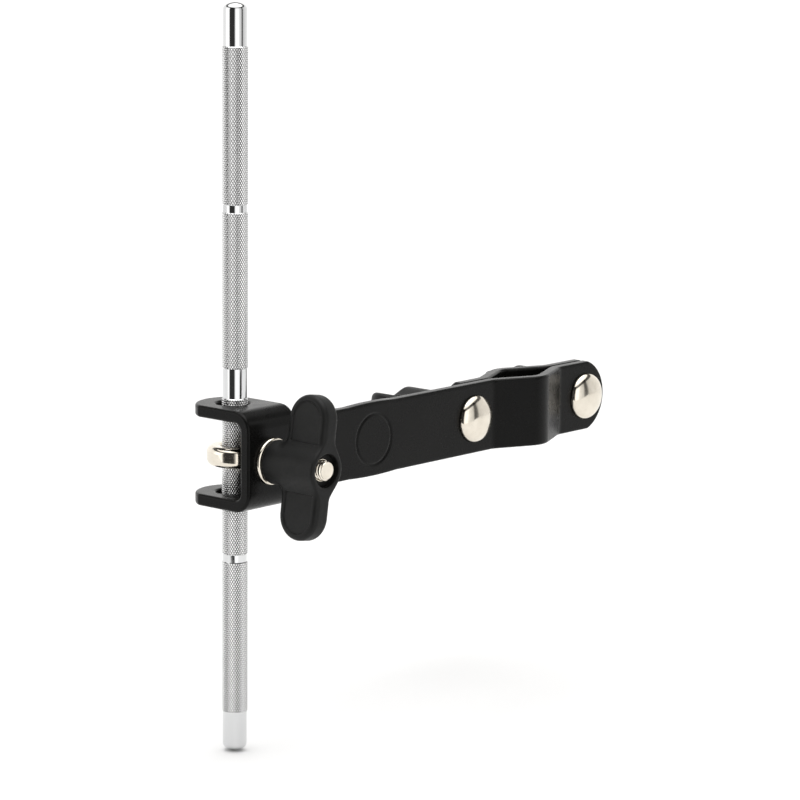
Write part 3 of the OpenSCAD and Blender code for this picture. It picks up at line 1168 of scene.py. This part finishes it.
@dataclass
class WingNut:
    """A moulded wing nut round a threaded metal insert."""

    hub_len: float = 28.0
    hub_r: float = 9.0
    hub_ease: float = 1.1
    recess_r: float = 6.8
    recess_depth: float = 3.0
    recess_ease: float = 0.5
    bore_r: float = 4.45
    wing_span: float = 58.4
    wing_w: float = 20.0
    wing_t: float = 8.4
    wing_ease: float = 2.2
    root_fillet: float = 4.0
    panel_inset: float = 2.7
    panel_depth: float = 0.5
    panel_ease: float = 0.15
    panel_start: float = 10.0
    insert_r: float = 6.2
    insert_lip_r: float = 4.75
    insert_lip: float = 1.0
    insert_len: float = 14.0
    insert_bore_r: float = 4.02
    grid_step: float = 0.45
    skins: dict[str, MeshStock] = field(default_factory=dict)

    def shape(self, x: Array, y: Array, z: Array) -> Array:
        """Field of the nut, hub along Z and wings along X."""
        around = np.hypot(x, y)
        hub_end = abs(z - self.hub_len / 2) - self.hub_len / 2
        hub = meet_rounded(around - self.hub_r, hub_end, self.hub_ease)
        tip_r = self.wing_w / 2
        tip_x = self.wing_span / 2 - tip_r
        past = np.maximum(abs(x) - tip_x, 0)
        paddle = np.hypot(past, z - self.hub_len + tip_r) - tip_r
        wing = meet_rounded(paddle, abs(y) - self.wing_t / 2, self.wing_ease)
        solid = join_filleted(hub, wing, self.root_fillet)
        solid = np.maximum(solid, hub_end)
        panel = np.maximum(paddle + self.panel_inset, self.panel_start - abs(x))
        floor = self.wing_t / 2 - self.panel_depth - abs(y)
        solid = cut_eased(solid, np.maximum(panel, floor), self.panel_ease)
        recess = np.maximum(around - self.recess_r,
                            self.hub_len - self.recess_depth - z)
        solid = cut_eased(solid, recess, self.recess_ease)
        top = self.hub_len - self.recess_depth
        pocket = np.maximum(around - self.insert_r, top - self.insert_len - z)
        pocket = np.maximum(pocket, z - top + self.insert_lip)
        mouth = np.maximum(around - self.insert_lip_r, top - self.insert_len - z)
        solid = np.maximum(np.maximum(solid, -pocket), -mouth)
        return np.maximum(solid, self.bore_r - around)

    def _skin(self) -> MeshStock:
        """Skins the nut once and hands the same skin to every nut."""
        if "nut" not in self.skins:
            half = (self.wing_span / 2 + 1, self.hub_r + 1)
            solid = MouldedShape(self.shape, (-half[0], -half[1], -1),
                                 (half[0], half[1], self.hub_len + 1), self.grid_step)
            self.skins["nut"] = solid.stock()
        return self.skins["nut"]

    def _insert(self) -> MeshStock:
        """The metal insert, its thread shown as a chamfered bore."""
        top = self.hub_len - self.recess_depth
        bottom, ease = top - self.insert_len, 0.25
        bore, outer = self.insert_bore_r, self.insert_r
        lip, shoulder = self.insert_lip_r - 0.05, top - self.insert_lip - 0.05
        profile = [(outer - ease, bottom), (outer, bottom + ease), (outer, shoulder),
                   (lip, shoulder), (lip, top - ease), (lip - ease, top),
                   (bore + ease, top), (bore, top - ease), (bore, bottom + ease),
                   (bore + ease, bottom)]
        return Lathe(96).turn(profile, closed=True)

    def build(self, fitter: Fitter, stem: str, body: Body, place: Matrix) -> None:
        """Fits a nut and its insert.

        Args:
            fitter: Who fits them.
            stem: Front, mid or end, as the frame's nodes begin.
            body: The body they ride on.
            place: Where the nut's seat stands, in millimetres.
        """
        fitter.fit(self._skin().moved(place), f"moulded_{stem}_wing_nut",
                   f"{stem}_wing_nut", body, Slot.NYLON, 50)
        fitter.fit(self._insert().moved(place), f"turned_{stem}_insert",
                   f"{stem}_nut_insert", body, Slot.NICKEL)


# ---------------------------------------------------------------- studio


@dataclass
class Studio:
    """Floor, surrounding light and camera."""

    camera_place: Triple = (-1.2455, -1.0252, 0.2963)
    yaw: float = 0.850344
    pitch: float = 0.180332
    roll: float = 0.00848
    lens: float = 171.0
    sensor: float = 36.0
    floor_half_w: float = 2.5
    floor_ahead: float = 0.30
    floor_behind: float = 1.6
    around: tuple[tuple[float, float], ...] = (
        (-180, 1.25), (-100, 1.15), (-88, 1.6), (-55, 1.6), (-49, 0.04), (-4, 0.04),
        (8, 1.6), (34, 1.6), (42, 1.15), (63, 0.75), (67, 0.12), (77, 0.12),
        (83, 0.8), (115, 1.0), (140, 1.15), (180, 1.25),
    )
    tent_seam_deg: float = 33.0
    tent_top_deg: float = 47.0
    roof_level: float = 1.5
    seam_depth: float = 0.9
    backdrop_level: float = 1.15
    tent_white: Triple = (1.0, 0.995, 0.985)
    softbox_w: float = 2.4
    softbox_z: float = 2.2
    softbox_watts: float = 30.0

    def place_camera(self) -> None:
        """Creates the camera and makes it the scene's."""
        sight = Vector((math.sin(self.yaw) * math.cos(self.pitch),
                        math.cos(self.yaw) * math.cos(self.pitch),
                        -math.sin(self.pitch)))
        right = Vector((math.cos(self.yaw), -math.sin(self.yaw), 0))
        up = right.cross(sight)
        cosine, sine = math.cos(self.roll), math.sin(self.roll)
        rolled_right = cosine * right + sine * up
        rolled_up = cosine * up - sine * right
        turn = Matrix((rolled_right, rolled_up, -sight)).transposed().to_4x4()
        data = bpy.data.cameras.new("studio_camera")
        data.lens, data.sensor_width = self.lens, self.sensor
        data.clip_start, data.clip_end = 0.05, 50.0
        camera = bpy.data.objects.new("studio_camera", data)
        camera.matrix_world = Matrix.Translation(self.camera_place) @ turn
        bpy.context.scene.collection.objects.link(camera)
        bpy.context.scene.camera = camera

    def lay_floor(self, height: float) -> None:
        """Lays the floor just under the rod's foot, square to the line of sight."""
        right = Vector((math.cos(self.yaw), -math.sin(self.yaw), 0))
        away = Vector((math.sin(self.yaw), math.cos(self.yaw), 0))
        foot = Vector((middle("mounting_rod", 0), middle("mounting_rod", 1), 0)) * MM
        foot.z = height
        reaches = [(-1, -self.floor_ahead), (1, -self.floor_ahead),
                   (1, self.floor_behind), (-1, self.floor_behind)]
        corners = [foot + side * self.floor_half_w * right + reach * away
                   for side, reach in reaches]
        mesh = bpy.data.meshes.new("studio_floor")
        mesh.from_pydata(corners, [], [(0, 1, 2, 3)])
        mesh.materials.append(PaleFloor().material())
        floor = bpy.data.objects.new("studio_floor", mesh)
        bpy.context.scene.collection.objects.link(floor)

    def light_tent(self) -> None:
        """Surrounds the clamp with a white tent with dark seams between its panels."""
        world = bpy.data.worlds.new("light_tent")
        world.use_nodes = True
        bpy.context.scene.world = world
        tree = world.node_tree
        tree.nodes.clear()

        def math_node(kind: str, *inputs: object) -> object:
            """Adds a math node fed by numbers or sockets and returns its output."""
            node = tree.nodes.new("ShaderNodeMath")
            node.operation = kind
            for socket, value in zip(node.inputs, inputs):
                if isinstance(value, (int, float)):
                    socket.default_value = value
                else:
                    tree.links.new(value, socket)
            return node.outputs[0]

        coordinates = tree.nodes.new("ShaderNodeTexCoord")
        split = tree.nodes.new("ShaderNodeSeparateXYZ")
        tree.links.new(coordinates.outputs["Generated"], split.inputs[0])
        x, y, z = split.outputs
        sine, cosine = math.sin(self.yaw), math.cos(self.yaw)
        aside = math_node("SUBTRACT", math_node("MULTIPLY", x, cosine),
                          math_node("MULTIPLY", y, sine))
        ahead = math_node("ADD", math_node("MULTIPLY", x, -sine),
                          math_node("MULTIPLY", y, -cosine))
        bearing = math_node("ARCTAN2", aside, ahead)
        share = math_node("ADD", math_node("DIVIDE", bearing, math.tau), 0.5)
        ramp = tree.nodes.new("ShaderNodeValToRGB")
        tree.links.new(share, ramp.inputs["Fac"])
        stops = ramp.color_ramp.elements
        while len(stops) < len(self.around):
            stops.new(0.5)
        for stop, (degrees, level) in zip(stops, self.around):
            stop.position = degrees / 360 + 0.5
            stop.color = (level, level, level, 1)
        height = math_node("ARCSINE", z)

        def step_up(from_deg: float, to_deg: float) -> object:
            """A smooth rise from 0 to 1 between two heights above the horizon."""
            node = tree.nodes.new("ShaderNodeMapRange")
            node.interpolation_type = "SMOOTHSTEP"
            node.inputs["From Min"].default_value = math.radians(from_deg)
            node.inputs["From Max"].default_value = math.radians(to_deg)
            tree.links.new(height, node.inputs["Value"])
            return node.outputs["Result"]

        seam, top = self.tent_seam_deg, self.tent_top_deg
        roof = step_up(top - 1, top + 1)
        gap = math_node("MULTIPLY", step_up(seam - 2, seam),
                        math_node("SUBTRACT", 1.0, step_up(top - 1, top + 1)))
        walls = math_node("MULTIPLY", ramp.outputs["Color"],
                          math_node("SUBTRACT", 1.0, math_node("MULTIPLY", gap,
                                                         self.seam_depth)))
        walls = math_node("MULTIPLY", walls, math_node("SUBTRACT", 1.0, roof))
        level = math_node("ADD", walls, math_node("MULTIPLY", roof, self.roof_level))
        around = tree.nodes.new("ShaderNodeBackground")
        tree.links.new(level, around.inputs["Strength"])
        seen = tree.nodes.new("ShaderNodeBackground")
        seen.inputs["Strength"].default_value = self.backdrop_level
        for node in (around, seen):
            node.inputs["Color"].default_value = (*self.tent_white, 1)
        rays = tree.nodes.new("ShaderNodeLightPath")
        mix = tree.nodes.new("ShaderNodeMixShader")
        output = tree.nodes.new("ShaderNodeOutputWorld")
        tree.links.new(rays.outputs["Is Camera Ray"], mix.inputs[0])
        tree.links.new(around.outputs[0], mix.inputs[1])
        tree.links.new(seen.outputs[0], mix.inputs[2])
        tree.links.new(mix.outputs[0], output.inputs["Surface"])

    def hang_softbox(self) -> None:
        """Hangs one broad softbox over the clamp."""
        data = bpy.data.lights.new("overhead_softbox", "AREA")
        data.shape, data.size = "DISK", self.softbox_w
        data.energy = self.softbox_watts
        lamp = bpy.data.objects.new("overhead_softbox", data)
        lamp.location = (0.0, 0.0, self.softbox_z)
        bpy.context.scene.collection.objects.link(lamp)

    def build(self, floor_height: float) -> None:
        """Sets the camera, floor and light."""
        self.place_camera()
        self.lay_floor(floor_height)
        self.light_tent()
        self.hang_softbox()
        bpy.context.scene.view_settings.view_transform = "Standard"


def main() -> None:
    """Builds every piece in order, then the studio round them."""
    logging.basicConfig(level=logging.INFO, format="%(name)s %(message)s")
    fitter = Fitter()
    fitter.prepare()
    studio = Studio()
    floor_gap = 0.0002
    studio.build(float(CAD_BOX[0][2]) - floor_gap)

    form = PlateForm()
    rod_x, rod_y = middle("mounting_rod", 0), middle("mounting_rod", 1)
    stud_z = middle("front_washer", 2)
    mid_x, end_x = middle("mid_washer", 0), middle("end_washer", 0)
    seat_y = span("mid_washer", 1)[1]

    FormedArm(form, rod_x, rod_y, stud_z, (mid_x, end_x)).build(fitter)
    LooseJaw(form, (mid_x, end_x)).build(fitter)
    bottom, top = span("mounting_rod", 2)
    KnurledRod(rod_x, rod_y, bottom, top).build(fitter)

    stud_end_y, eye_back_y = span("eye_bolt", 1)
    eye_y = eye_back_y - EyeBolt.outer_r
    EyeBolt(rod_x, stud_z, stud_end_y, eye_y).build(fitter)
    washer = PlainWasher()
    washer.build(fitter, "front_washer", Body.ARM)
    washer.build(fitter, "mid_washer", Body.JAW)
    washer.build(fitter, "end_washer", Body.JAW)
    bolt = CarriageBolt()
    bolt.build(fitter, "mid_carriage_bolt", mid_x)
    bolt.build(fitter, "end_carriage_bolt", end_x)

    nut = WingNut()
    front_wing_lean, rear_wing_tilt = 8.4, 13.5
    nut.build(fitter, "front", Body.FRONT_NUT,
              facing_front(rod_x, -seat_y, stud_z, 90 - front_wing_lean))
    for stem, body, x in (("mid", Body.MID_NUT, mid_x), ("end", Body.END_NUT, end_x)):
        nut.build(fitter, stem, body, facing_back(x, seat_y, 0, rear_wing_tilt))


if __name__ == "__main__":
    main()
